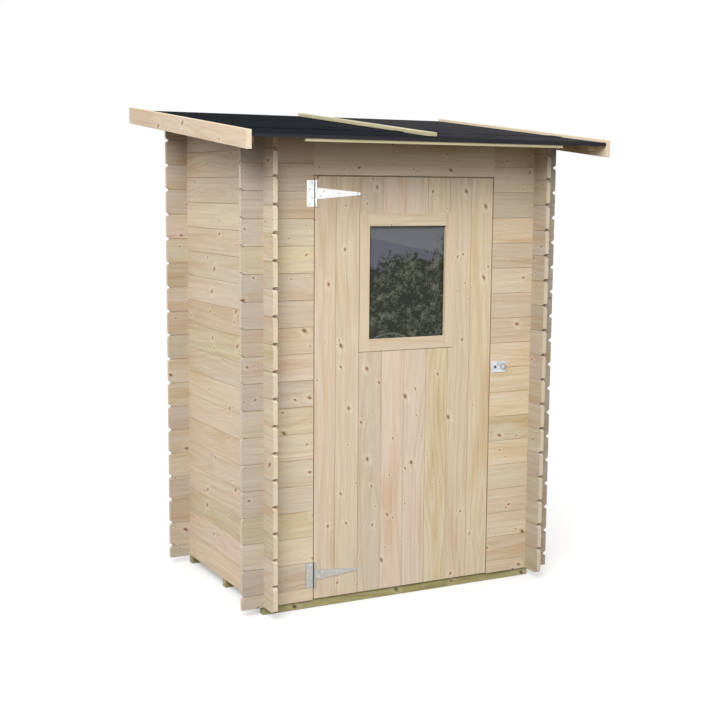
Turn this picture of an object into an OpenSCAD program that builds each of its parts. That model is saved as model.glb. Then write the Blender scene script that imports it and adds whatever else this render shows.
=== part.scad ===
// Garden shed of planed logs with a mono-pitch felt roof and a boarded, glazed door.
// Millimetres, +Z up, front towards -Y. The origin is on the ground under the middle of the roof.

/* [Log walls] */
// Width over the outer faces of the side walls
wall_w = 1366; // [1250:1:2000]
// Depth over the outer faces of the front and back walls
wall_d = 915; // [700:1:1600]
// Height of the roof boards' underside over the bearers, at the front face
front_h = 2004; // [1950:1:2300]
// Cover height of one log
log_h = 114; // [90:1:140]
// Thickness of a log
log_t = 20; // [16:1:34]
// Length of a log end beyond the crossing wall
log_end = 100; // [60:1:160]
// Length of the slanted cut on a log end
end_cut_l = 16; // [6:1:30]
// Height of the slanted cut on a log end
end_cut_h = 11; // [4:1:20]
// Height of the tongue on a log
tongue_h = 5; // [3:0.5:8]
// Thickness of the tongue on a log
tongue_t = 6; // [4:0.5:8]
// Edge break along the faces of a log
log_break = 1.5; // [0.5:0.5:3]

/* [Base] */
// Width and height of a bearer
bearer = 36; // [28:1:60]
// Distance of the outer bearers behind the wall faces
bearer_in = 9; // [0:1:30]
// Thickness of the floor boards
floor_t = 16; // [12:1:22]

/* [Roof] */
// Pitch of the roof in degrees, falling to the front
pitch = 6.14; // [3:0.01:10]
// Overhang in front of the front wall
eaves_front = 277; // [150:1:400]
// Overhang behind the back wall
eaves_back = 249; // [150:1:400]
// Overhang of the barge boards' outer faces over the side walls
verge = 190; // [150:1:300]
// Thickness of the roof boards
roof_t = 12; // [12:1:24]
// Thickness of the roofing felt
felt_t = 2; // [1:0.5:4]
// Height of the felt's turned-down edge
felt_drop = 12; // [8:1:18]
// Distance of the felt's lap behind the front wall's face
lap_in = 50; // [20:1:200]
// Length of the felt's lap
lap_l = 80; // [50:1:120]
// Height of a barge board
barge_h = 75; // [60:1:120]
// Thickness of a barge board
barge_t = 22; // [16:1:32]
// Rise of a barge board over the felt
barge_rise = 13; // [6:1:20]
// Width of a roof batten
batten_w = 40; // [28:1:60]
// Thickness of an eaves batten
batten_t = 14; // [10:1:24]
// Length of an eaves batten
eaves_batten_l = 1240; // [800:1:1250]
// Distance of an eaves batten from the roof's edge
eaves_batten_in = 5; // [3:1:60]
// Distance of the cover batten's front end from the roof's front edge
cover_batten_in = 108; // [40:1:200]
// Distance of the cover batten's back end from the roof's back edge
cover_batten_back = 30; // [0:1:100]
// Thickness of the cover batten
cover_batten_t = 16; // [10:1:24]
// Distance of the cover batten and the joint under it from the roof's middle
cover_batten_x = 22; // [-60:1:60]
// Distance of a verge batten's ends from the roof's edges
verge_batten_in = 74; // [50:1:120]
// Height of a verge batten under the roof boards
verge_batten_h = 28; // [18:1:40]

/* [Door] */
// Width of the doorway
door_w = 898; // [700:1:940]
// Distance of the doorway's middle from the wall's middle
door_x = -3; // [-20:1:20]
// Height of the doorway over the bearers
door_h = 1835; // [1700:1:1860]
// Running gap round the door leaf
door_gap = 5.5; // [5:0.5:8]
// Thickness of a door board
door_t = 15; // [12:1:15]
// Number of door boards
door_n = 8; // [7:1:10]
// Cover width of a door board
door_board_w = 112.6; // [80:0.1:120]
// Height of a door ledge
ledge_h = 90; // [60:1:110]
// Thickness of a door ledge and of the window beads
ledge_t = 18; // [12:1:24]
// Width of a door post behind the wall
post_w = 45; // [36:1:60]
// Depth of a door post
post_d = 36; // [28:1:45]
// Height of the head behind the lintel
head_h = 90; // [60:1:110]
// Overlap of the posts and the head behind the leaf
stop = 12; // [8:1:16]

/* [Door window] */
// Width over the window frame
win_w = 480; // [300:1:500]
// Height over the window frame
win_h = 599; // [400:1:640]
// Height of the window frame's underside over the bearers
win_z = 1076; // [1000:1:1120]
// Number of door boards left of the window frame
win_from = 2; // [1:1:3]
// Width of a window stile
stile_w = 49; // [35:1:60]
// Height of a window rail
rail_h = 55; // [35:1:65]
// Height of the window frame's face over the door boards
frame_proud = 2; // [0:0.5:4]
// Thickness of the pane
pane_t = 4; // [3:1:6]
// Cover of the beads over the pane's edge
pane_edge = 10; // [6:1:14]

/* [Door furniture] */
// Height of the hinges' plates
plate_h = 110; // [80:1:140]
// Width of the hinges' plates
plate_w = 41; // [30:1:60]
// Thickness of the hinges' and the staple's plates
plate_t = 2.5; // [2:0.5:4]
// Height of the top hinge's middle over the bearers
hinge_top = 1758; // [1700:1:1770]
// Height of the bottom hinge's middle over the bearers
hinge_low = 114; // [100:1:200]
// Length of a hinge strap from the pin
strap_l = 212; // [150:1:260]
// Height of a strap at the pin
strap_root = 47; // [36:1:60]
// Height of a strap at its tip
strap_tip = 12; // [8:1:20]
// Radius of a hinge barrel
barrel_r = 4.8; // [4:0.1:6]
// Radius of a hinge pin
pin_r = 2.5; // [2:0.1:3]
// Width of the staple's plate
staple_w = 78; // [60:1:90]
// Height of the staple's plate
staple_h = 50; // [40:1:60]
// Height of the staple's middle over the bearers
staple_z = 974; // [900:1:1050]
// Radius of the staple's rod
staple_r = 3; // [2:0.5:4]
// Reach of the staple in front of its plate
staple_reach = 18; // [12:1:25]
// Distance of the staple from the plate's left edge
staple_off = 64; // [40:1:70]

/* [Hidden] */

spruce = [0.87, 0.76, 0.6];
green_wood = [0.5, 0.47, 0.27];
felt_grey = [0.16, 0.17, 0.18];
zinc = [0.72, 0.74, 0.75];

seat = 0.3;               // gap between pieces that rest on each other
half = seat / 2;
over = 1;                 // how far a cutter runs past a face
tall = 4 * log_h;         // height of a cutter that runs out over the roof
min_top = 30;             // least height of a wall's top log
min_neck = 20;            // least height of a log's neck under the roof
roof_l = eaves_front + wall_d + eaves_back;
y_front = eaves_front - roof_l / 2;
y_back = y_front + wall_d;
y_mid = (y_front + y_back) / 2;
eave_y = -roof_l / 2;
ridge_y = roof_l / 2;
panel_x = wall_w / 2 + verge - barge_t - seat;
roof_v = roof_t / cos(pitch);
felt_v = felt_t / cos(pitch);
felt_low = roof_v + seat;
felt_top = felt_low + felt_v;
lap_y = y_front + lap_in;
door_l = door_x - door_w / 2;
door_r = door_x + door_w / 2;
leaf_l = door_l + door_gap;
leaf_r = door_r - door_gap;
leaf_low = bearer + door_gap;
leaf_top = bearer + door_h - door_gap;
first_board = leaf_r - leaf_l - (door_n - 1) * door_board_w;
win_left = leaf_l + first_board + (win_from - 1) * door_board_w;
wall_in = y_front + log_t;
post_y = wall_in + seat;
board_in = y_front + door_t;
back_in = board_in + seat;
win_low = bearer + win_z;
pin_x = leaf_l + 1;
barrel_room = 0.5;        // room between a barrel and the wood or the plate beside it
pin_y = y_front - barrel_r - barrel_room;
pin_gap = 0.1;
knuckle_gap = 0.3;
staple_x = door_r + 3;    // left edge of the staple's plate
swing_room = 1;           // room between the swinging ledges' ends and the free side's post
cross_x = (wall_w - log_t) / 2;
cross_y = (wall_d - log_t) / 2;

// Underside of the roof boards over a point at depth y
function roof_z(y) = bearer + front_h + (y - y_front) * tan(pitch);
// Underside of one band of the corner joint: even bands belong to the front and back walls
function band(j) = bearer + (2 * j - 1) * log_h / 4;
function last_band(y) = floor((roof_z(y) - min_neck - bearer + log_h / 4) / (log_h / 2));
// Number of whole logs that stand from z up to the roof at depth y, under a top log
function whole_logs(z, y) = floor((roof_z(y) - z - min_top) / log_h);

// A bar of constant section under or over the roof boards, from y0 to y1, with heights over their underside
module roof_bar(x0, x1, y0, y1, low, high) {
  translate([x0, 0, 0]) rotate([90, 0, 90]) linear_extrude(x1 - x0)
    polygon([[y0, roof_z(y0) + low], [y1, roof_z(y1) + low], [y1, roof_z(y1) + high],
      [y0, roof_z(y0) + high]]);
}

// Everything above the roof boards' underside
module above_roof() {
  roof_bar(-wall_w, wall_w, eave_y, ridge_y, -seat, tall);
}

// A log's section along x: groove below, tongue above, broken edges
module log_bar(x0, x1, z0, height) {
  c = log_break;
  mid = log_t / 2;
  g = tongue_t / 2 + seat;
  w = tongue_t / 2;
  low = half;
  top = height - half;
  groove = low + tongue_h + 2 * seat;
  translate([x0, 0, z0]) rotate([90, 0, 90]) linear_extrude(x1 - x0)
    polygon([[c, low], [mid - g, low], [mid - g, groove], [mid + g, groove], [mid + g, low],
      [log_t - c, low], [log_t, low + c], [log_t, top - c], [log_t - c, top], [mid + w, top],
      [mid + w, top + tongue_h], [mid - w, top + tongue_h], [mid - w, top], [c, top],
      [0, top - c], [0, low + c]]);
}

// Slanted cut at the upper (up = 1) or lower (up = -1) corner of a log end at x, facing way
module end_cut(x, z, way, up) {
  l = end_cut_l / 2;
  h = end_cut_h / 2;
  translate([x, log_t + over, z]) scale([way, 1, up]) rotate([90, 0, 0])
    linear_extrude(log_t + 2 * over) polygon([[-3 * l, h], [l, h], [l, -3 * h]]);
}

// Room for the other wall's logs where two walls cross at x and depth y
module necks(x, y, own, z0, z1) {
  last = last_band(y);
  for (j = [0 : last])
    if (j % 2 != own && band(j + 1) > z0 && band(j) < z1)
      translate([x - log_t / 2 - half, -over, band(j) - half])
        cube([log_t + seat, log_t + 2 * over, j == last ? tall : log_h / 2 + seat]);
}

// One log from x0 to x1. Each crossing is [x, depth of the crossing]; own is 0 or 1 as in band()
module log(x0, x1, z0, height, own, crossings, cut_low = true, ends = [-1, 1]) {
  difference() {
    log_bar(x0, x1, z0, height);
    for (c = crossings)
      necks(c[0], c[1], own, z0, z0 + height);
    for (way = ends) {
      end_cut(way < 0 ? x0 : x1, z0 + height, way, 1);
      if (cut_low) end_cut(way < 0 ? x0 : x1, z0, way, -1);
    }
  }
}

// Logs of a front or back wall whose middle is at depth y
module cross_logs(x0, x1, y, crossings, ends) {
  start = bearer + log_h / 2;
  n = whole_logs(start, y);
  log(x0, x1, bearer, log_h / 2, 0, crossings, false, ends);
  for (i = [0 : n - 1])
    log(x0, x1, start + i * log_h, log_h, 0, crossings, true, ends);
  log(x0, x1, start + n * log_h, roof_z(y) - start - n * log_h + log_h / 2, 0, crossings, true, ends);
}

// A front or back wall
module cross_wall(x0, x1, y, crossings, ends) {
  depth = y < y_mid ? y_front : y_back;
  color(spruce) difference() {
    translate([0, depth, 0]) mirror([0, y < y_mid ? 0 : 1, 0]) cross_logs(x0, x1, y, crossings, ends);
    above_roof();
  }
}

// A side wall: whole logs and one tapered board on top
module side_wall() {
  run = wall_d / 2 + log_end;
  crossings = [[-cross_y, y_front + log_t / 2], [cross_y, y_back - log_t / 2]];
  n = whole_logs(bearer, y_front);
  color(spruce) difference() {
    translate([-wall_w / 2, y_mid, 0]) rotate([0, 0, 90]) mirror([0, 1, 0]) {
      for (i = [0 : n - 1])
        log(-run, run, bearer + i * log_h, log_h, 1, crossings);
      log(-run, run, bearer + n * log_h, 3 * log_h, 1, crossings);
    }
    above_roof();
  }
}

module left_wall() { side_wall(); }
module right_wall() { mirror([1, 0, 0]) side_wall(); }

module back_wall() {
  run = wall_w / 2 + log_end;
  y = y_back - log_t / 2;
  cross_wall(-run, run, y, [[-cross_x, y], [cross_x, y]], [-1, 1]);
}

module front_wall_left() {
  y = y_front + log_t / 2;
  cross_wall(-wall_w / 2 - log_end, door_l, y, [[-cross_x, y]], [-1]);
}

module front_wall_right() {
  y = y_front + log_t / 2;
  cross_wall(door_r, wall_w / 2 + log_end, y, [[cross_x, y]], [1]);
}

module bearer_at(y) {
  color(green_wood) translate([-wall_w / 2, y - bearer / 2, 0]) cube([wall_w, bearer, bearer - half]);
}

module bearer_front() { bearer_at(y_front + bearer / 2 + bearer_in); }
module bearer_middle() { bearer_at(y_mid); }
module bearer_back() { bearer_at(y_back - bearer / 2 - bearer_in); }

module floor_boards() {
  color(spruce) translate([-wall_w / 2 + log_t + seat, wall_in + seat, bearer + half])
    cube([wall_w - 2 * log_t - 2 * seat, wall_d - 2 * log_t - 2 * seat, floor_t]);
}

module door_lintel() {
  low = bearer + door_h;
  color(spruce) difference() {
    translate([door_l + seat, y_front, low]) cube([door_w - 2 * seat, log_t, 2 * log_h]);
    above_roof();
  }
}

// Post behind the end of the front wall's logs, which the leaf closes against
module door_post(x0) {
  low = bearer + floor_t + seat;
  color(spruce) translate([x0, post_y, low]) cube([post_w, post_d, bearer + door_h - stop - seat - low]);
}

module door_post_left() { door_post(door_l + stop - post_w); }
module door_post_right() { door_post(door_r - stop); }

module door_head() {
  color(spruce) translate([door_l + stop - post_w, post_y, bearer + door_h - stop])
    cube([door_w - 2 * stop + 2 * post_w, post_d, head_h]);
}

module roof_panel(x0, x1) {
  inset = felt_t + seat;
  color(spruce) roof_bar(x0, x1, eave_y + inset, ridge_y - inset, 0, roof_v);
}
module roof_panel_left() { roof_panel(-panel_x, cover_batten_x - half); }
module roof_panel_right() { roof_panel(cover_batten_x + half, panel_x); }

// Felt sheet with its edge turned down at the front
module felt_front() {
  y1 = lap_y + lap_l;
  color(felt_grey) {
    roof_bar(-panel_x, panel_x, eave_y, y1, felt_low, felt_top);
    roof_bar(-panel_x, panel_x, eave_y, eave_y + felt_t, felt_low - felt_drop, felt_top);
  }
}

// Felt sheet that laps over the front one and turns down at the back
module felt_back() {
  rise = felt_v + seat;
  y1 = lap_y + lap_l + seat;
  color(felt_grey) {
    roof_bar(-panel_x, panel_x, y1, ridge_y, felt_low, felt_top);
    roof_bar(-panel_x, panel_x, lap_y, y1 + felt_t, felt_low + rise, felt_top + rise);
    roof_bar(-panel_x, panel_x, y1, y1 + felt_t, felt_low + felt_v / 2, felt_top + rise);
    roof_bar(-panel_x, panel_x, ridge_y - felt_t, ridge_y, felt_low - felt_drop, felt_top);
  }
}

module barge_board_left() {
  top = felt_top + barge_rise;
  x = wall_w / 2 + verge;
  color(spruce) roof_bar(-x, barge_t - x, eave_y, ridge_y, top - barge_h / cos(pitch), top);
}
module barge_board_right() { mirror([1, 0, 0]) barge_board_left(); }

// Batten over the joint of the two roof panels, notched over the felt's lap
module cover_batten() {
  low = felt_top + seat;
  lap = felt_v + seat;
  x = batten_w / 2;
  color(green_wood) translate([cover_batten_x, 0, 0]) difference() {
    roof_bar(-x, x, eave_y + cover_batten_in, ridge_y - cover_batten_back, low, low + cover_batten_t);
    roof_bar(-batten_w, batten_w, lap_y - seat, lap_y + lap_l + 2 * felt_t, low - over, low + lap);
  }
}

module eaves_batten(y0) {
  color(green_wood) roof_bar(-eaves_batten_l / 2, eaves_batten_l / 2, y0, y0 + batten_w, -batten_t, -seat);
}
module eaves_batten_front() { eaves_batten(eave_y + eaves_batten_in); }
module eaves_batten_back() { eaves_batten(ridge_y - eaves_batten_in - batten_w); }

module verge_batten_left() {
  color(spruce) roof_bar(-panel_x, batten_w - panel_x, eave_y + verge_batten_in,
    ridge_y - verge_batten_in, -verge_batten_h, -seat);
}
module verge_batten_right() { mirror([1, 0, 0]) verge_batten_left(); }

// Fixed half of a T hinge: plate, two barrels and the pin
module hinge_plate(z) {
  side = (plate_h - strap_root) / 2 - knuckle_gap;
  color(zinc) translate([pin_x, pin_y, z]) {
    difference() {
      translate([-plate_w, -pin_y + y_front - plate_t - half, -plate_h / 2])
        cube([plate_w, plate_t, plate_h]);
      translate([0, 0, -strap_root / 2 - knuckle_gap])
        cylinder(r = barrel_r + barrel_room, h = strap_root + 2 * knuckle_gap, $fn = 48);
    }
    for (low = [-plate_h / 2, plate_h / 2 - side])
      translate([0, 0, low]) cylinder(r = barrel_r, h = side, $fn = 48);
    translate([0, 0, -plate_h / 2]) cylinder(r = pin_r, h = plate_h, $fn = 48);
  }
}
module hinge_plate_top() { hinge_plate(bearer + hinge_top); }
module hinge_plate_bottom() { hinge_plate(bearer + hinge_low); }

// Moving half of a T hinge: tapered strap and one barrel round the pin
module hinge_strap(z) {
  r = strap_tip / 2;
  root = strap_root / 2;
  color(zinc) translate([pin_x, pin_y, z]) difference() {
    union() {
      translate([0, y_front - pin_y - half, 0]) rotate([90, 0, 0]) linear_extrude(plate_t) {
        polygon([[0, -root], [barrel_r * 2, -root], [strap_l - r, -r], [strap_l - r, r],
          [barrel_r * 2, root], [0, root]]);
        translate([strap_l - r, 0]) circle(r = r, $fn = 32);
      }
      translate([0, 0, -root]) cylinder(r = barrel_r, h = strap_root, $fn = 48);
    }
    translate([0, 0, -root - over]) cylinder(r = pin_r + pin_gap, h = strap_root + 2 * over, $fn = 48);
  }
}
module hinge_strap_top() { hinge_strap(bearer + hinge_top); }
module hinge_strap_bottom() { hinge_strap(bearer + hinge_low); }

// Plate with a staple for a padlock, on the wall beside the leaf's free edge
module staple_plate() {
  leg = staple_h / 4;
  color(zinc) translate([staple_x, y_front - half, bearer + staple_z]) {
    translate([0, -plate_t, -staple_h / 2]) cube([staple_w, plate_t, staple_h]);
    for (z = [-leg, leg])
      translate([staple_off, -plate_t / 2, z]) rotate([90, 0, 0])
        cylinder(r = staple_r, h = staple_reach, $fn = 24);
    translate([staple_off, -plate_t / 2 - staple_reach, -leg - staple_r])
      cylinder(r = staple_r, h = 2 * leg + 2 * staple_r, $fn = 24);
  }
}

// Upright boards of the leaf, cut round the window frame
module door_boards() {
  color(spruce) difference() {
    for (i = [0 : door_n - 1]) {
      x0 = i == 0 ? leaf_l : leaf_l + first_board + (i - 1) * door_board_w + half;
      x1 = leaf_l + first_board + i * door_board_w - (i == door_n - 1 ? 0 : half);
      translate([x0, y_front, leaf_low]) cube([x1 - x0, door_t, leaf_top - leaf_low]);
    }
    translate([win_left - half, y_front - over, win_low - half])
      cube([win_w + seat, door_t + 2 * over, win_h + seat]);
  }
}

// Ledge across the back of the boards, between the posts
module door_ledge(z) {
  x0 = door_l + stop + door_gap;
  x1 = door_r - stop - door_gap - swing_room;
  color(spruce) translate([x0, back_in, z]) cube([x1 - x0, ledge_t, ledge_h]);
}
module door_ledge_top() {
  door_ledge(win_low + win_h + seat + (leaf_top - win_low - win_h - stop - ledge_h) / 2);
}
module door_ledge_middle() { door_ledge(win_low - ledge_h - seat); }
module door_ledge_bottom() { door_ledge(bearer + hinge_low - ledge_h / 2); }

// Two stiles and two rails butted round an opening
module ring_bars(y0, depth) {
  for (x = [half, win_w - stile_w - half])
    translate([win_left + x, y0, win_low]) cube([stile_w, depth, win_h]);
  for (z = [0, win_h - rail_h])
    translate([win_left + half + stile_w + seat, y0, win_low + z])
      cube([win_w - 2 * stile_w - 3 * seat, depth, rail_h]);
}

module window_frame() { color(spruce) ring_bars(y_front - frame_proud, door_t + frame_proud); }

module window_pane() {
  color([0.45, 0.5, 0.55]) translate([win_left + stile_w - pane_edge, back_in, win_low + rail_h - pane_edge])
    cube([win_w - 2 * stile_w + 2 * pane_edge, pane_t, win_h - 2 * rail_h + 2 * pane_edge]);
}

// Beads behind the frame, rebated for the pane
module window_beads() {
  edge = pane_edge + seat;
  color(spruce) difference() {
    ring_bars(back_in, ledge_t);
    translate([win_left + stile_w - edge, back_in - over, win_low + rail_h - edge])
      cube([win_w - 2 * stile_w + 2 * edge, pane_t + seat + over, win_h - 2 * rail_h + 2 * edge]);
  }
}

bearer_front();
bearer_middle();
bearer_back();
floor_boards();
left_wall();
right_wall();
back_wall();
front_wall_left();
front_wall_right();
door_lintel();
door_post_left();
door_post_right();
door_head();
roof_panel_left();
roof_panel_right();
felt_front();
felt_back();
barge_board_left();
barge_board_right();
cover_batten();
eaves_batten_front();
eaves_batten_back();
verge_batten_left();
verge_batten_right();
hinge_plate_top();
hinge_plate_bottom();
staple_plate();
door_boards();
door_ledge_top();
door_ledge_middle();
door_ledge_bottom();
window_frame();
window_beads();
window_pane();
hinge_strap_top();
hinge_strap_bottom();
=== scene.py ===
import math

import bmesh
import bpy
from mathutils import Matrix, Vector


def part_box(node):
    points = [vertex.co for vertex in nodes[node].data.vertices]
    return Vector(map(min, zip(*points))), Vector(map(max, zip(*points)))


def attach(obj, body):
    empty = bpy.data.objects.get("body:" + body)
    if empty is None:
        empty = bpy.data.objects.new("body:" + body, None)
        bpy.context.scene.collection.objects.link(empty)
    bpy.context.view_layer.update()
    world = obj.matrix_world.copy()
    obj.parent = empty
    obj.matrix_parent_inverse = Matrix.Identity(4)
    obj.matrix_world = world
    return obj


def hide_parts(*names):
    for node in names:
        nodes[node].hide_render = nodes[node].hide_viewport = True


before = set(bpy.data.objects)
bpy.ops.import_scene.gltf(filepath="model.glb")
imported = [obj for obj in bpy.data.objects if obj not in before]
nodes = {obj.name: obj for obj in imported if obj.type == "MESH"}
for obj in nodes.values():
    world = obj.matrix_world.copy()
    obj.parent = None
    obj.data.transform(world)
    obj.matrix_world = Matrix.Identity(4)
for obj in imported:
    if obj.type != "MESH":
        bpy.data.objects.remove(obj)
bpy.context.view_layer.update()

print("frame loaded:", len(nodes), "nodes")


# Wire: a socket that takes part in Python sums. Tree: a node tree, with one method for every other node.

class Wire:
    def __init__(self, tree, socket):
        self.tree, self.socket = tree, socket

    def maths(self, operation, *others):
        values = dict(enumerate((self,) + others))
        return self.tree.make("Math", {"operation": operation}, values)

    def swapped(self, operation, other):
        return self.tree.make("Math", {"operation": operation}, {0: other, 1: self})

    def __add__(self, other): return self.maths("ADD", other)
    def __radd__(self, other): return self.swapped("ADD", other)
    def __sub__(self, other): return self.maths("SUBTRACT", other)
    def __rsub__(self, other): return self.swapped("SUBTRACT", other)
    def __mul__(self, other): return self.maths("MULTIPLY", other)
    def __rmul__(self, other): return self.swapped("MULTIPLY", other)
    def __truediv__(self, other): return self.maths("DIVIDE", other)
    def __rtruediv__(self, other): return self.swapped("DIVIDE", other)
    def __pow__(self, other): return self.maths("POWER", other)
    def __abs__(self): return self.maths("ABSOLUTE")
    def __neg__(self): return self.maths("MULTIPLY", -1.0)
    def floor(self): return self.maths("FLOOR")
    def part(self): return self.maths("FRACT")
    def root(self): return self.maths("SQRT")
    def exp(self): return self.maths("EXPONENT")
    def most(self, other): return self.maths("MAXIMUM", other)

    def ease(self, low, high):  # 0 at low, 1 at high, smooth between them
        return self.tree.make("MapRange", {"interpolation_type": "SMOOTHSTEP"},
                              {"Value": self, "From Min": low, "From Max": high})


class Tree:
    def __init__(self, name):
        self.material = bpy.data.materials.new(name)
        self.material.use_nodes = True
        self.net = self.material.node_tree
        self.net.nodes.clear()

    def make(self, kind, settings=None, sockets=None, output=0):
        node = self.net.nodes.new("ShaderNode" + kind)
        for key, value in (settings or {}).items():
            if key == "stops":
                ramp = node.color_ramp
                while len(ramp.elements) > 1:
                    ramp.elements.remove(ramp.elements[-1])
                ramp.elements[0].position, ramp.elements[0].color = value[0]
                for place, colour in value[1:]:
                    ramp.elements.new(place).color = colour
            else:
                setattr(node, key, value)
        for key, value in (sockets or {}).items():
            if isinstance(value, Wire):
                self.net.links.new(value.socket, node.inputs[key])
            elif value is not None:
                node.inputs[key].default_value = value
        return Wire(self, node.outputs[output]) if node.outputs else node

    def split(self, vector):
        node = self.make("SeparateXYZ", {}, {0: vector})
        return [Wire(self, s) for s in node.socket.node.outputs]

    def join(self, x, y, z):
        return self.make("CombineXYZ", {}, {0: x, 1: y, 2: z})

    def blend(self, factor, first, second, way="MIX"):
        return self.make("Mix", {"data_type": "RGBA", "blend_type": way, "clamp_factor": True},
                         {0: factor, 6: first, 7: second}, 2)

    def scaled(self, first, level):  # a colour made lighter or darker
        return self.blend(1.0, first, self.join(level, level, level), "MULTIPLY")

    def noise(self, vector, scale=1.0, detail=2.0, rough=0.5):
        return self.make("TexNoise", {"noise_dimensions": "3D"},
                         {"Vector": vector, "Scale": scale, "Detail": detail, "Roughness": rough})

    def wander(self, along):  # values that drift slowly along one line
        return self.make("TexNoise", {"noise_dimensions": "1D"},
                         {"W": along, "Scale": 1.0, "Detail": 1.0}, 1)

    def cells(self, vector, scale, output="Distance"):  # grains and spangles
        return self.make("TexVoronoi", {"feature": "F1"}, {"Vector": vector, "Scale": scale}, output)

    def chance(self, x, y=0.0, z=0.0):  # four random numbers for one cell
        node = self.make("TexWhiteNoise", {"noise_dimensions": "3D"}, {"Vector": self.join(x, y, z)})
        value, colour = node.socket.node.outputs
        return [Wire(self, value)] + self.split(Wire(self, colour))

    def finish(self, sockets, bump=None, mixWith=None):
        if bump is not None:
            height, strength, distance = bump
            sockets["Normal"] = self.make("Bump", {}, {"Strength": strength, "Distance": distance,
                                                        "Height": height})
        shader = self.make("BsdfPrincipled", {}, sockets)
        if mixWith is not None:
            shader = self.make("MixShader", {}, {0: mixWith[0], 1: shader, 2: mixWith[1]})
        self.make("OutputMaterial", {}, {"Surface": shader})
        return self.material


def colour(r, g, b):
    return (r, g, b, 1.0)


def grey(value):
    return colour(value, value, value)


spruceLook = {
    "tones": [(0.0, colour(0.735, 0.595, 0.425)), (0.16, colour(0.690, 0.565, 0.450)),
              (0.30, colour(0.740, 0.625, 0.430)), (0.42, colour(0.705, 0.560, 0.440)),
              (0.56, colour(0.690, 0.585, 0.385)), (0.70, colour(0.650, 0.540, 0.420)),
              (0.82, colour(0.745, 0.635, 0.470)), (1.0, colour(0.680, 0.535, 0.385))],
    "late": colour(0.80, 0.67, 0.50),
    "stain": colour(0.86, 0.72, 0.54),
    "flame": colour(0.620, 0.410, 0.240),
    "wash": colour(0.760, 0.675, 0.555),
    "knot": colour(0.250, 0.125, 0.065),
    "knotRim": colour(0.500, 0.310, 0.180),
    # pale: the tone of a painted sheen beside the knots
    "pale": colour(0.840, 0.730, 0.560),
    "end": colour(0.830, 0.690, 0.500),
    "joint": colour(0.55, 0.43, 0.30),
    "ringPitch": 0.0052,
    "lateDepth": 0.19,
    "bandDepth": 0.15,
    "fibreDepth": 0.08,
    "jointDepth": 0.40,
    "rough": 0.62,
}
bearerLook = dict(spruceLook, **{
    "tones": [(0.0, colour(0.420, 0.355, 0.160)), (0.35, colour(0.480, 0.400, 0.185)),
              (0.7, colour(0.390, 0.350, 0.165)), (1.0, colour(0.500, 0.435, 0.220))],
    "late": colour(0.66, 0.60, 0.42),
    "stain": colour(0.72, 0.74, 0.56),
    "wash": colour(0.560, 0.540, 0.360),
    "knot": colour(0.100, 0.070, 0.030),
    "knotRim": colour(0.280, 0.220, 0.100),
    "pale": colour(0.600, 0.560, 0.330),
    "end": colour(0.450, 0.410, 0.230),
    "bandDepth": 0.26,
    "fibreDepth": 0.18,
    "rough": 0.78,
})
battenLook = dict(bearerLook, **{
    "tones": [(0.0, colour(0.440, 0.415, 0.250)), (0.4, colour(0.520, 0.475, 0.315)),
              (1.0, colour(0.420, 0.405, 0.245))],
    "stain": colour(0.82, 0.88, 0.70),
    "pale": colour(0.620, 0.560, 0.400),
    "bandDepth": 0.18,
})
growth = {
    "pithSide": 0.13, "driftSide": 0.16, "rippleSide": 0.012,
    "pithDepth": 0.07, "pithLeast": 0.022, "driftDepth": 0.05,
    "drift": 0.9, "ripple": 5.0, "swirl": 0.006,
    "fibre": (14.0, 620.0), "streak": (3.0, 120.0), "cloud": (1.6, 9.0), "wash": (2.6, 26.0),
    "boardLevel": 0.14, "lift": 1.03, "bump": (0.45, 0.0006), "halfGap": (0.0026, 0.0012),
}
knotLayers = [
    {"cell": 0.37, "small": 0.0034, "large": 0.0074, "share": 0.70, "seed": 3.0},
    {"cell": 0.17, "small": 0.0016, "large": 0.0042, "share": 0.56, "seed": 11.0},
    {"cell": 0.11, "small": 0.0010, "large": 0.0028, "share": 0.46, "seed": 23.0},
]


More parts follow.
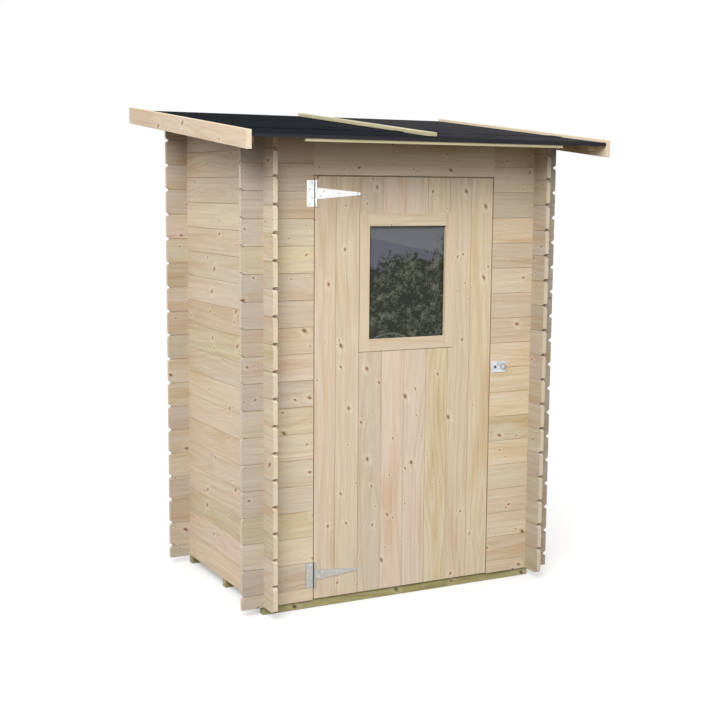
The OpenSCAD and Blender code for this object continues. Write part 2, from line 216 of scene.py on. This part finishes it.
def wood(name, grain, stack, middle, width, depthAt, seed, look=spruceLook, single=True, turn=0.0,
         ends=None):
    # grain, stack: axis along the fibres and across the boards
    # middle, width, depthAt: one board's middle on the stack axis, its width, its middle on the third axis
    # single: one board, or many side by side; turn: the roof's slope
    # ends: (low, high, tone): beyond low and high along the grain the wood takes that tone, a painted
    # shade on the log ends
    t = Tree(name)
    place = t.make("TexCoord", {}, {}, "Object")
    face = t.make("TexCoord", {}, {}, "Normal")
    if turn:
        place = t.make("Mapping", {}, {"Vector": place, "Rotation": (-turn, 0.0, 0.0)})
    axes = t.split(place)
    along, across, deep = axes[grain], axes[stack], axes[3 - grain - stack]
    if single:
        board = float(seed)
        local = across - middle
    else:
        index = ((across - middle) / width + 0.5).floor()
        board = index + seed * 17.0
        local = across - middle - index * width
    deep = deep - depthAt
    tone, pithA, pithD, side = t.chance(board, 0.5, seed)

    g = growth
    drift = t.split(t.wander(along * g["drift"] + board * 7.31))
    ripple = t.split(t.wander(along * g["ripple"] + board * 3.77))
    pithAcross = ((pithA - 0.5) * g["pithSide"] + (drift[0] - 0.5) * g["driftSide"]
                  + (ripple[0] - 0.5) * g["rippleSide"])
    pithDeep = ((pithD * g["pithDepth"] + g["pithLeast"]) * ((side - 0.5) * 100.0).maths("SIGN")
                + (drift[1] - 0.5) * g["driftDepth"])
    offAcross = local - pithAcross
    offDeep = deep - pithDeep
    radius = (offAcross * offAcross + offDeep * offDeep).root()

    knot, rim, pale, flame, bend = 0.0, 0.0, 0.0, 0.0, 0.0
    wobble = t.noise(place, 220.0, 1.0)
    for layer in knotLayers:
        cell = along / layer["cell"] + pithA * 5.0
        number = cell.floor()
        here, ru, rv, rs = t.chance(number, board, layer["seed"])
        du = (cell - number - (ru * 0.6 + 0.2)) * layer["cell"]
        dv = local - (rv - 0.5) * (width * 0.86)
        present = (here * (-1.0) + layer["share"] * 1.0 + (tone - 0.5) * 0.5).ease(0.0, 0.01)
        size = (rs * rs * (layer["large"] - layer["small"]) + layer["small"])
        skew = dv + du * (rs - 0.5)
        length = (du * du * 0.55 + skew * skew).root()
        ratio = length / size
        mask = (1.0 - (ratio + (wobble - 0.5) * 0.5).ease(0.75, 1.15)) * present
        ring = (1.0 - ratio.ease(0.9, 2.1)) * present
        # painted sheen: pale halos beside the knots
        shine = (-(ratio - 2.9) * (ratio - 2.9) * 0.45).exp() * present * (wobble + 0.1).ease(0.35, 0.7)
        tail = (-(skew * skew) / (size * size) * 0.7).exp() * (abs(du) * -26.0).exp() * present
        push = (-(ratio * ratio) * 0.11).exp() * size * present * 1.5
        knot, rim, pale = mask.most(knot), ring.most(rim), shine.most(pale)
        flame, bend = tail.most(flame), push + bend

    swirl = t.noise(t.join(along * 2.2, across * 22.0 + board * 0.61, deep * 22.0), 1.0, 1.0)
    rings = (radius + bend + (swirl - 0.5) * g["swirl"]) / look["ringPitch"]
    phase = rings.part()
    late = phase ** 2.2 * (1.0 - phase.ease(0.80, 1.0))
    bands = t.make("TexNoise", {"noise_dimensions": "1D"},
                   {"W": rings * 0.42 + board * 5.1, "Scale": 1.0, "Detail": 2.0})

    def stretched(key, shiftAlong=0.0, shiftAcross=0.0, detail=2.0):
        # noise drawn out along the grain
        length, width = g[key]
        place = t.join(along * length + shiftAlong, across * width + shiftAcross, deep * width)
        return t.noise(place, 1.0, detail)

    fibre = stretched("fibre")
    streak = stretched("streak", shiftAcross=board * 1.7)
    cloud = stretched("cloud", shiftAlong=board * 2.3)
    wash = stretched("wash", shiftAlong=board * 4.1, detail=3.0)

    base = t.make("ValToRGB", {"stops": look["tones"]}, {0: tone})
    level = (side - 0.5) * g["boardLevel"] + g["lift"]
    base = t.scaled(base, level)
    base = t.blend(cloud.ease(0.50, 0.72) * 0.55, base, look["stain"], "MULTIPLY")
    base = t.blend(wash.ease(0.50, 0.66) * 0.36, base, look["wash"])
    base = t.blend(bands.ease(0.42, 0.68) * look["bandDepth"] * 2.2, base, look["late"], "MULTIPLY")
    base = t.blend(late * look["lateDepth"], base, look["late"], "MULTIPLY")
    fibres = (streak - 0.5) * 0.30 + (fibre - 0.5) * look["fibreDepth"] * 2.0 + 1.0
    base = t.scaled(base, fibres)
    # painted sheen beside the knots
    base = t.blend(pale * 0.50, base, look["pale"])
    base = t.blend(flame * 0.34, base, look["flame"])
    base = t.blend(rim * 0.55, base, look["knotRim"])
    base = t.blend(knot * 0.92, base, look["knot"])

    ending = abs(t.split(face)[grain]).ease(0.85, 0.97)
    if ends is not None:
        # painted shade: the log ends beyond the corners are darkened
        beyond = (along - ends[1]).most(ends[0] - along).ease(-0.012, 0.006)
        base = t.blend(beyond, base, ends[2], "MULTIPLY")
    base = t.blend(ending * 0.55, base, look["end"])
    if not single:
        edge = abs(local).ease(width / 2 - g["halfGap"][0], width / 2 - g["halfGap"][1])
        base = t.blend(edge * look["jointDepth"], base, look["joint"], "MULTIPLY")

    rough = (fibre - 0.5) * 0.16 - knot * 0.18 + look["rough"]
    height = fibre * 0.5 + late * 0.35 - knot * 0.4 + streak * 0.3
    return t.finish({"Base Color": base, "Roughness": rough, "Specular IOR Level": 0.32},
                    (height, *g["bump"]))


def dress(node, material):
    # gives a CAD node one material
    mesh = nodes[node].data
    mesh.materials.clear()
    mesh.materials.append(material)


def nodeWood(node, grain, stack, seed, look=spruceLook, turn=0.0, width=0.16):
    # wood for a CAD node that is one board; its knots keep within that width
    low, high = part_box(node)
    middle = (low + high) / 2
    if turn:
        middle = Matrix.Rotation(-turn, 3, "X") @ middle
    third = 3 - grain - stack
    width = min(high[stack] - low[stack], width)
    dress(node, wood(node + "Wood", grain, stack, middle[stack], width, middle[third], seed, look,
                     turn=turn))


# painted shade: tones that darken the log ends, the right wall's ends more
shed = {"logPitch": 0.114, "roofSlope": math.radians(6.14), "logEnd": 0.1,
        "paintedEndShade": colour(0.74, 0.77, 0.84),
        "paintedSideEndShade": [colour(0.92, 0.96, 1.0), colour(0.72, 0.76, 0.82)]}
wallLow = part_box("left_wall")[0].z
pitch = shed["logPitch"]
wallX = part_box("back_wall")[1].x - shed["logEnd"]
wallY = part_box("front_wall_left")[0].y
for seed, name in enumerate(("left_wall", "right_wall")):
    low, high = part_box(name)
    dress(name, wood(name + "Wood", 1, 2, wallLow + pitch / 2, pitch, (low.x + high.x) / 2, 21 + seed,
                     single=False,
                     ends=(low.y + shed["logEnd"], high.y - shed["logEnd"], shed["paintedSideEndShade"][seed])))
for seed, name in enumerate(("back_wall", "front_wall_left", "front_wall_right")):
    low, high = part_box(name)
    dress(name, wood(name + "Wood", 0, 2, wallLow, pitch, (low.y + high.y) / 2, 31 + seed, single=False,
                     ends=(-wallX, wallX, shed["paintedEndShade"])))
print("log walls dressed")


feltLook = {"shaded": colour(0.0050, 0.0078, 0.0108), "litTone": colour(0.033, 0.033, 0.038),
            "worn": colour(0.044, 0.044, 0.046), "edgeShadow": 0.050, "grain": 900.0, "rough": 0.92}


def feltMaterial():
    # mineral felt: grit, worn patches, painted light that grows from left to right and lights the front
    # drop, and a painted shadow band along the top's front edge
    t = Tree("mineralFelt")
    place = t.make("TexCoord", {}, {}, "Object")
    x, y, z = t.split(place)
    low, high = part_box("felt_front")
    grit = t.cells(place, feltLook["grain"])
    tint = t.split(t.cells(place, feltLook["grain"], "Color"))[0]
    patch = t.noise(place, 3.5, 3.0)
    fine = t.noise(place, 60.0, 3.0)
    # painted light: the felt grows lighter from left to right, and the front drop is lighter
    paintedLight = ((x - low.x) / (high.x - low.x) + (patch - 0.5) * 0.5).ease(0.30, 0.85)
    edge = y.ease(low.y + 0.001, low.y + 0.003)
    # painted shadow: a dark band along the top's front edge
    edgeShadow = edge * (1.0 - y.ease(low.y + feltLook["edgeShadow"] - 0.002, low.y + feltLook["edgeShadow"]))
    base = t.blend(paintedLight.most(1.0 - edge), feltLook["shaded"], feltLook["litTone"])
    base = t.blend(patch.ease(0.50, 0.75) * paintedLight * 0.4, base, feltLook["worn"])
    shade = (tint - 0.5) * 0.5 + 1.0 - edgeShadow * 0.55
    base = t.scaled(base, shade)
    rough = fine * 0.1 + feltLook["rough"] - 0.05
    return t.finish({"Base Color": base, "Roughness": rough, "Specular IOR Level": 0.02},
                    (grit * -1.0 + fine * 0.6, 0.5, 0.0008))


zincGrain = {"spangle": 160.0, "smear": 40.0, "paintedShade": colour(0.04, 0.045, 0.05)}
zincLook = {"base": colour(0.96, 0.965, 0.96), "dull": colour(0.80, 0.81, 0.82), "rough": 0.36}
# painted shade: a darker copy of the zinc for the bottom hinge, whose reflection is darker
shadedZincLook = {"base": colour(0.47, 0.46, 0.43), "dull": colour(0.34, 0.35, 0.36), "rough": 0.34}
screwLook = {"base": colour(0.58, 0.58, 0.59), "dull": colour(0.38, 0.38, 0.40), "rough": 0.30}


def zincMaterial(name, look, shadeOf=None):
    # zinc plating; shadeOf gives, from the tree and a place, how much painted shade darkens the metal
    t = Tree(name)
    place = t.make("TexCoord", {}, {}, "Object")
    spangle = t.split(t.cells(place, zincGrain["spangle"], "Color"))[0]
    smear = t.noise(place, zincGrain["smear"], 4.0, 0.6)
    base = t.blend(smear.ease(0.45, 0.75) * 0.6 + spangle * 0.18, look["base"], look["dull"])
    if shadeOf is not None:
        # painted shade in the crevices that shadeOf gives
        base = t.blend(shadeOf(*t.split(place)) * 0.9, base, zincGrain["paintedShade"])
    rough = smear * 0.18 + spangle * 0.06 + (look["rough"] - 0.1)
    return t.finish({"Base Color": base, "Metallic": 1.0, "Roughness": rough}, (smear, 0.12, 0.0004))


# painted reflection: the colours of sky, leaves and twigs shown on the pane
paintedReflection = {"sky": colour(0.125, 0.128, 0.160), "haze": colour(0.165, 0.170, 0.190),
             "leaf": colour(0.020, 0.025, 0.015), "leafLight": colour(0.150, 0.160, 0.115),
             "twig": colour(0.170, 0.180, 0.140), "bow": [(0.02, 0.42, 0.40), (0.30, 0.46, 0.52)]}


def glassMaterial():
    # the pane with a painted reflection of a garden: sky, a tree's edge and a few bowed twigs
    t = Tree("paneGlass")
    place = t.make("TexCoord", {}, {}, "Object")
    x, y, z = t.split(place)
    low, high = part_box("window_pane")
    big = t.noise(place, 6.0, 5.0, 0.62)
    small = t.noise(place, 55.0, 5.0, 0.7)
    fleck = t.noise(place, 130.0, 4.0, 0.75)
    rise = (z - low.z) / (high.z - low.z)
    sideways = (x - low.x) / (high.x - low.x)
    crown = rise + (big - 0.5) * 0.70 + (small - 0.5) * 0.36 - sideways * 0.16
    clear = crown.ease(0.60, 0.68)
    slant = (rise + sideways * 0.16).ease(0.885, 0.895)
    sky = t.blend(slant, paintedReflection["sky"], paintedReflection["haze"])
    clump = t.noise(place, 16.0, 3.0, 0.6)
    bright = (small * 0.48 + fleck * 0.38 + clump * 0.34).ease(0.56, 0.74)
    leaf = t.blend(bright, paintedReflection["leaf"], paintedReflection["leafLight"])
    twig = 0.0
    for across, drop, radius in paintedReflection["bow"]:
        a, b = sideways - across, rise + drop
        line = abs((a * a + b * b).root() - radius - (small - 0.5) * 0.03)
        twig = (1.0 - line.ease(0.004, 0.010)).most(twig)
    leaf = t.blend(twig * 0.6, leaf, paintedReflection["twig"])
    base = t.blend(clear, leaf, sky)
    return t.finish({"Base Color": base, "Roughness": 0.05, "Specular IOR Level": 0.25, "Alpha": 0.96})


hinge = {"barrel": 0.0048, "front": 0.00265, "seat": 0.00015, "groove": (0.0006, 0.0016)}
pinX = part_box("hinge_strap_top")[0].x + hinge["barrel"]
plateY = wallY - hinge["front"]
felt = feltMaterial()


def barrelGrooveShade(x, y, z):
    # painted shade where the rolled barrel leaves its leaf
    return 1.0 - abs(x - (pinX - hinge["barrel"] - hinge["groove"][0])).ease(*hinge["groove"])


zinc = zincMaterial("zincPlate", zincLook, barrelGrooveShade)
shadedZinc = zincMaterial("zincPlateShaded", shadedZincLook, barrelGrooveShade)
screwZinc = zincMaterial("zincScrew", screwLook)
glass = glassMaterial()
for name in ("felt_front", "felt_back"):
    dress(name, felt)
dress("window_pane", glass)


def eased(node, width):
    # a CAD node gets softly broken edges
    weld = nodes[node].modifiers.new("weld", "WELD")
    weld.merge_threshold = 0.00002
    bevel = nodes[node].modifiers.new("bevel", "BEVEL")
    bevel.width, bevel.segments, bevel.limit_method = width, 2, "ANGLE"
    bevel.angle_limit = math.radians(30)


edges = {"board": 0.0012, "batten": 0.0018, "hinge": 0.0004}
slope = shed["roofSlope"]
climb = math.tan(slope)
nodeWood("door_lintel", 0, 2, 41)
nodeWood("door_head", 0, 2, 42)
for seed, side in enumerate(("left", "right")):
    nodeWood("door_post_" + side, 2, 0, 43 + seed)
    nodeWood("barge_board_" + side, 1, 2, 51 + seed, turn=slope, width=0.075)
    nodeWood("verge_batten_" + side, 1, 0, 53 + seed, turn=slope)
for seed, place in enumerate(("top", "middle", "bottom")):
    nodeWood("door_ledge_" + place, 0, 2, 45 + seed)
nodeWood("cover_batten", 1, 0, 55, battenLook, slope)
for seed, place in enumerate(("front", "back")):
    nodeWood("eaves_batten_" + place, 0, 1, 56 + seed, battenLook)
for seed, place in enumerate(("front", "middle", "back")):
    nodeWood("bearer_" + place, 0, 2, 61 + seed, bearerLook)
low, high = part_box("door_boards")
doorBoard = 0.1126
doorRight = high.x
dress("door_boards", wood("doorBoardWood", 2, 0, doorRight - doorBoard / 2, doorBoard,
                          (low.y + high.y) / 2, 71, single=False))
for name in ("door_boards", "door_lintel", "door_head", "door_post_left", "door_post_right",
             "door_ledge_top", "door_ledge_middle", "door_ledge_bottom"):
    eased(name, edges["board"])
for name in ("barge_board_left", "barge_board_right", "cover_batten", "eaves_batten_front",
             "eaves_batten_back", "verge_batten_left", "verge_batten_right", "bearer_front",
             "bearer_middle", "bearer_back"):
    eased(name, edges["batten"])
# the bottom hinge takes the painted-shade copy of the zinc
for side, metal in (("top", zinc), ("bottom", shadedZinc)):
    for part in ("plate", "strap"):
        dress("hinge_" + part + "_" + side, metal)
        eased("hinge_" + part + "_" + side, edges["hinge"])
print("boards, battens and hinges dressed")


def piece(name, bm, material, body, replaced=()):
    # ends a mesh: one object at the origin that rides on a body
    mesh = bpy.data.meshes.new(name)
    bmesh.ops.recalc_face_normals(bm, faces=bm.faces)
    bm.to_mesh(mesh)
    bm.free()
    mesh.materials.append(material)
    made = bpy.data.objects.new(name, mesh)
    bpy.context.scene.collection.objects.link(made)
    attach(made, body)
    if replaced:
        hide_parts(*replaced)
    return made


def bar(bm, low, high, edge, rise=0.0):
    # a sawn board with broken edges; rise is its climb per metre towards the back
    corners = bmesh.ops.create_cube(bm, size=1.0)["verts"]
    size = Vector(high) - Vector(low)
    for v in corners:
        v.co = Vector([low[i] + (v.co[i] + 0.5) * size[i] for i in range(3)])
    rims = list({e for v in corners for e in v.link_edges})
    cut = bmesh.ops.bevel(bm, geom=rims, offset=edge, offset_type="OFFSET", segments=2, profile=0.5,
                          affect="EDGES", material=-1)
    if rise:
        for v in {v for f in cut["faces"] for v in f.verts} | {v for v in corners if v.is_valid}:
            v.co.z += (v.co.y - low[1]) * rise


def boarding(name, node, sizes, count, top, woodName, depthAt, seed, rise=0.0, turn=0.0):
    # boards side by side along Y in place of one CAD sheet
    low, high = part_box(node)
    width, gap = (high.x - low.x) / count, sizes["gap"] / 2
    bm = bmesh.new()
    for i in range(count):
        left = low.x + i * width
        bar(bm, (left + gap, low.y, low.z), (left + width - gap, high.y, top), sizes["edge"], rise)
    piece(name, bm, wood(woodName, 1, 0, low.x + width / 2, width, depthAt, seed, single=False, turn=turn),
          "shed", (node,))


roofBoards = {"pitch": 0.096, "thick": 0.01207, "gap": 0.0012, "edge": 0.0009, "spare": 0.2}
for seed, side in enumerate(("left", "right")):
    # the roof boards run down the slope, from the joint under the cover batten outwards
    low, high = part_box("roof_panel_" + side)
    boarding("roofBoards" + side.title(), "roof_panel_" + side, roofBoards,
             math.ceil((high.x - low.x) / roofBoards["pitch"] - roofBoards["spare"]),
             low.z + roofBoards["thick"], "roofBoardWood" + side.title(), 2.0, 73 + seed, climb, slope)

floorBoards = {"pitch": 0.088, "gap": 0.001, "edge": 0.0012, "middle": 0.044}
low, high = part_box("floor_boards")
boarding("floorPlanks", "floor_boards", floorBoards, round((high.x - low.x) / floorBoards["pitch"]),
         high.z, "floorWood", floorBoards["middle"], 72)
print("roof boards and floor planks built")

window = {"stile": 0.049, "rail": 0.055, "edge": 0.0014, "beadEdge": 0.004, "gap": 0.0003,
          "shrunk": 0.0016}


def windowRing(name, node, edge, seed, shrunk=0.0):
    # two stiles and two rails between them, each with its own grain, in place of one CAD ring
    # shrunk: a shadow gap at the ring's left edge and under it
    low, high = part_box(node)
    stile, rail, gap = window["stile"], window["rail"], window["gap"]
    upright, level = bmesh.new(), bmesh.new()
    for left, start in ((low.x, low.x + shrunk), (high.x - stile, high.x - stile)):
        bar(upright, (start, low.y, low.z + shrunk), (left + stile, high.y, high.z), edge)
    for under, start in ((low.z, low.z + shrunk), (high.z - rail, high.z - rail)):
        bar(level, (low.x + stile + gap, low.y + gap, start),
            (high.x - stile - gap, high.y, under + rail), edge)
    middle = (low + high) / 2
    pitch = high.x - low.x - stile
    stileWood = wood(name + "StileWood", 2, 0, low.x + stile / 2, pitch, middle.y, seed, single=False)
    piece(name + "Stiles", upright, stileWood, "door", (node,))
    pitch = high.z - low.z - rail
    railWood = wood(name + "RailWood", 0, 2, low.z + rail / 2, pitch, middle.y, seed + 1, single=False)
    piece(name + "Rails", level, railWood, "door", (node,))


windowRing("windowFrame", "window_frame", window["edge"], 75, window["shrunk"])
windowRing("windowBead", "window_beads", window["beadEdge"], 78)
print("window frame and beads built")

screw = {"radius": 0.0036, "top": 0.72, "rim": 0.12, "rise": 0.0009, "recess": 0.0007, "arm": 0.0021,
         "half": 0.0005, "weight": 0.6}


def screwHead(bm, place, facing, size=1.0):
    # a round head with a cross recess, on the surface at place
    aim = Vector((0, 0, 1)).rotation_difference(Vector(facing)).to_matrix().to_4x4()
    rise, radius = screw["rise"] * size, screw["radius"] * size
    start = Matrix.Translation(place) @ aim
    made = bmesh.ops.create_cone(bm, cap_ends=True, segments=12, radius1=radius,
                                 radius2=radius * screw["top"], depth=rise,
                                 matrix=start @ Matrix.Translation((0, 0, rise / 2)))["verts"]
    top = max({f for v in made for f in v.link_faces},
              key=lambda f: f.calc_center_median().dot(Vector(facing)))
    bmesh.ops.inset_individual(bm, faces=[top], thickness=radius * screw["rim"])
    back = start.inverted()
    arm, half, weight = screw["arm"] * size, screw["half"] * size, screw["weight"]
    cross = [(arm, -half), (arm, half), (half, half), (half, arm), (-half, arm), (-half, half),
             (-arm, half), (-arm, -half), (-half, -half), (-half, -arm), (half, -arm), (half, -half)]
    for v in top.verts:
        local = back @ v.co
        angle = math.atan2(local.y, local.x)
        # the corner nearest in angle; the weight settles which of two equally near ones is taken
        x, y = min(cross, key=lambda c: abs(math.remainder(
            math.atan2(c[1], c[0]) * weight - angle * weight, 2 * math.pi * weight)))
        local.x, local.y = x, y
        v.co = start @ local
    bmesh.ops.inset_individual(bm, faces=[top], thickness=0.0, depth=-screw["recess"] * size)


# places of the screws from the pin and from the hinge's middle
plateHoles = [(-0.0175, 0.045), (-0.0285, 0.018), (-0.0175, -0.017), (-0.0285, -0.044)]
strapHoles = [(0.0375, 0.009), (0.0225, -0.010), (0.1095, 0.001), (0.1975, 0.001)]
for side in ("top", "bottom"):
    for part, body, holes in (("plate", "shed", plateHoles), ("strap", "door", strapHoles)):
        low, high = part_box("hinge_" + part + "_" + side)
        bm = bmesh.new()
        for x, z in holes:
            screwHead(bm, (pinX + x, plateY, (low.z + high.z) / 2 + z), (0, -1, 0))
        piece("hingeScrews" + part.title() + side.title(), bm, screwZinc, body)

boardScrews = {"inset": 0.03, "pitch": 0.33, "size": 1.1, "above": 0.028, "ledge": 0.022,
               "cover": 5, "coverInset": 0.05, "least": 0.01}
for side, way in (("Left", -1), ("Right", 1)):
    # screws through each barge board into the batten behind it
    low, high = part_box("barge_board_" + side.lower())
    bm = bmesh.new()
    run = high.y - low.y - 2 * boardScrews["inset"]
    count = math.floor(run / boardScrews["pitch"])
    for i in range(count + 1):
        y = low.y + boardScrews["inset"] + i * run / count
        z = low.z + boardScrews["above"] + (y - low.y) * climb
        screwHead(bm, (low.x if way < 0 else high.x, y, z), (way, 0, 0), boardScrews["size"])
    piece("bargeScrews" + side, bm, screwZinc, "shed")
for name in ("door_ledge_top", "door_ledge_middle", "door_ledge_bottom"):
    # two screws through the ledge into each door board
    low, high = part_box(name)
    bm = bmesh.new()
    for i in range(math.ceil((doorRight - low.x) / doorBoard)):
        x = doorRight - (i + 0.5) * doorBoard
        if x < low.x + boardScrews["least"]:
            x = low.x + boardScrews["inset"]
        for z in (low.z + boardScrews["ledge"], high.z - boardScrews["ledge"]):
            screwHead(bm, (x, high.y, z), (0, 1, 0), boardScrews["size"])
    piece("ledgeScrews" + name.rsplit("_", 1)[1].title(), bm, screwZinc, "door")
low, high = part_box("cover_batten")
bm = bmesh.new()
run = high.y - low.y - 2 * boardScrews["coverInset"]
for i in range(boardScrews["cover"]):
    y = low.y + boardScrews["coverInset"] + i * run / (boardScrews["cover"] - 1)
    surface = high.z - (high.y - y) * climb
    screwHead(bm, ((low.x + high.x) / 2, y, surface), (0, -math.sin(slope), math.cos(slope)),
              boardScrews["size"])
piece("coverScrews", bm, screwZinc, "shed")
print("screws built")

staple = {"edge": 0.0005, "rod": 0.003, "spread": 0.0125, "loopX": 0.064, "steps": 12,
          "eye": (0.020, 0.0068, 0.0022), "stud": (0.0405, 0.0078, 0.0),  # across, radius, sink
          "rise": 0.0016, "rim": 0.0012,
          "look": {"base": colour(0.72, 0.74, 0.77), "dull": colour(0.40, 0.42, 0.45), "rough": 0.30}}
low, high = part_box("staple_plate")
plateX, centreZ, loopX = low.x, (low.z + high.z) / 2, low.x + staple["loopX"]
quarterTurn = Matrix.Rotation(math.radians(90), 4, "X")
bm = bmesh.new()
bar(bm, (plateX, plateY, low.z), (high.x, wallY - hinge["seat"], high.z), staple["edge"])
# the lock's eye: a raised ring round a sunken disc, and a stud beside it
for across, radius, sink in (staple["eye"], staple["stud"]):
    start = Matrix.Translation((plateX + across, plateY - 0.0006, centreZ)) @ quarterTurn
    made = bmesh.ops.create_cone(bm, cap_ends=True, segments=24, radius1=radius + staple["rise"],
                                 radius2=radius + staple["rise"] / 2, depth=staple["rise"],
                                 matrix=start)["verts"]
    top = min({f for v in made for f in v.link_faces}, key=lambda f: f.calc_center_median().y)
    bmesh.ops.inset_individual(bm, faces=[top], thickness=staple["rim"], depth=0.0004)
    bmesh.ops.inset_individual(bm, faces=[top], thickness=0.0002, depth=-sink)
# the staple: a rod bent out of the plate and back into it
straight = (plateY - low.y) - staple["spread"] - staple["rod"]
foot = Matrix.Translation((loopX, plateY, centreZ - staple["spread"])) @ quarterTurn
ring = bmesh.ops.create_circle(bm, segments=12, radius=staple["rod"], matrix=foot)["verts"]


def onlyEdges(geometry):
    return [g for g in geometry if isinstance(g, bmesh.types.BMEdge)]


def pulled(rim, shift):
    # draws a ring of edges out into a tube and gives its new ring
    out = bmesh.ops.extrude_edge_only(bm, edges=rim)["geom"]
    bmesh.ops.translate(bm, vec=shift, verts=[g for g in out if isinstance(g, bmesh.types.BMVert)])
    return onlyEdges(out)


rim = pulled(list({e for v in ring for e in v.link_edges}), (0, -straight, 0))
out = bmesh.ops.spin(bm, geom=rim, cent=(loopX, plateY - straight, centreZ), axis=(1, 0, 0),
                     dvec=(0, 0, 0), angle=-math.pi, steps=staple["steps"])["geom_last"]
pulled(onlyEdges(out), (0, straight, 0))


def eyeShade(x, y, z):
    # painted shade inside the lock's eye, round the stud, and on the rod
    across, rise = x - (plateX + staple["eye"][0]), z - centreZ
    eye = 1.0 - (across * across + rise * rise).root().ease(0.0060, 0.0072)
    across = x - (plateX + staple["stud"][0])
    stud = 1.0 - abs((across * across + rise * rise).root() - 0.0096).ease(0.0004, 0.0012)
    rod = (plateY - y).ease(0.0024, 0.0036) * 0.62
    return eye.most(stud * 0.5).most(rod)


piece("lockStaple", bm, zincMaterial("stapleZinc", staple["look"], eyeShade), "shed",
      ("staple_plate",))
print("staple built")


view = {"place": (-2.8314, -5.3832, 1.8144), "heading": 27.784, "dip": 7.497, "roll": 0.46, "lens": 65.01}
camera = bpy.data.objects.new("camera", bpy.data.cameras.new("camera"))
bpy.context.scene.collection.objects.link(camera)
camera.data.lens = view["lens"]
camera.data.sensor_width = 36.0
camera.data.clip_end = 200.0
turn = (Matrix.Rotation(math.radians(-view["heading"]), 4, "Z")
        @ Matrix.Rotation(math.radians(90 - view["dip"]), 4, "X")
        @ Matrix.Rotation(math.radians(view["roll"]), 4, "Z"))
camera.matrix_world = Matrix.Translation(view["place"]) @ turn
bpy.context.scene.camera = camera

light = {"sky": 1.05, "bounce": 0.03, "floor": 0.66, "glow": 0.33, "lamp": 385.0, "size": 4.5,
         "place": (-4.1, -4.75, 5.2), "aim": (0.0, 0.0, 1.0)}
lampData = bpy.data.lights.new("softLamp", "AREA")
lampData.shape = "DISK"
lampData.size = light["size"]
lampData.energy = light["lamp"]
lamp = bpy.data.objects.new("softLamp", lampData)
bpy.context.scene.collection.objects.link(lamp)
lamp.location = light["place"]
lamp.rotation_euler = (Vector(light["aim"]) - Vector(light["place"])).to_track_quat("-Z", "Y").to_euler()
lamp.visible_camera = False


class WorldTree(Tree):  # the same methods on the world's own tree
    def __init__(self, world):
        world.use_nodes = True
        self.net = world.node_tree
        self.net.nodes.clear()


def shown(t):
    # 1 for the rays that see the background itself: camera, glossy and transmission rays
    path = t.make("LightPath", {}, {}, "Is Camera Ray")
    glossy = Wire(t, path.socket.node.outputs["Is Glossy Ray"])
    through = Wire(t, path.socket.node.outputs["Is Transmission Ray"])
    return path.most(glossy).most(through)


bpy.context.scene.world = bpy.data.worlds.new("studio")
w = WorldTree(bpy.context.scene.world)
w.make("OutputWorld", {}, {"Surface": w.make("Background", {}, {
    "Color": w.blend(shown(w), grey(light["sky"]), grey(1.0)), "Strength": 1.0})})

f = Tree("paleFloor")
seen = shown(f)
floorMaterial = f.finish({
    "Base Color": f.blend(seen, grey(light["bounce"]), grey(light["floor"])), "Roughness": 0.9,
    "Specular IOR Level": 0.0, "Emission Color": f.blend(seen, grey(0.0), grey(light["glow"])),
    "Emission Strength": 1.0})
bm = bmesh.new()
bmesh.ops.create_grid(bm, x_segments=1, y_segments=1, size=60.0)
floorMesh = bpy.data.meshes.new("studioFloor")
bm.to_mesh(floorMesh)
bm.free()
floorMesh.materials.append(floorMaterial)
floor = bpy.data.objects.new("studioFloor", floorMesh)
bpy.context.scene.collection.objects.link(floor)
bpy.context.scene.view_settings.view_transform = "Standard"
print("camera, light and floor placed")
